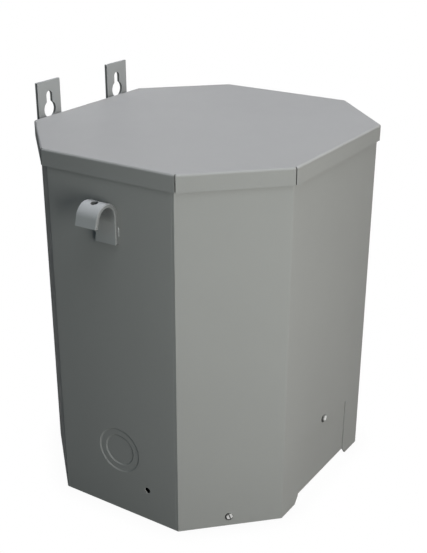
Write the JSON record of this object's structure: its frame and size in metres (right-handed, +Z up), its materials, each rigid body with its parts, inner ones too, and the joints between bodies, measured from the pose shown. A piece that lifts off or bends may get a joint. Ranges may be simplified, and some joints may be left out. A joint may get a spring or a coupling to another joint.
{
  "type": "distribution transformer",
  "caption": "Wall-mounted dry-type distribution transformer in an eight-sided grey sheet-steel case with an overhanging lid, lifting hooks, knockouts and keyhole wall brackets.",
  "frame": {"origin": "on the floor that the case stands on, in the plane of symmetry, midway between the lid's front and the wall", "axes": "+X to the right seen from the front, +Y towards the wall, +Z up"},
  "size_m": [0.407, 0.3262, 0.4247],
  "materials": {
    "case_paint": "satin grey powder coat",
    "bracket_paint": "satin grey powder coat on thick plate",
    "compound": "matt cast potting compound"
  },
  "bodies": {
    "root": {"lid": "case_paint", "front_cover": "case_paint", "wiring_plate": "case_paint", "case_wrap": "case_paint", "base": "case_paint", "potted_block": "compound", "left_knockout_ring": "case_paint", "left_knockout_disc": "case_paint", "right_knockout_ring": "case_paint", "right_knockout_disc": "case_paint", "left_hook": "bracket_paint", "right_hook": "bracket_paint", "left_bracket": "bracket_paint", "right_bracket": "bracket_paint"}
  },
  "joints": []
}
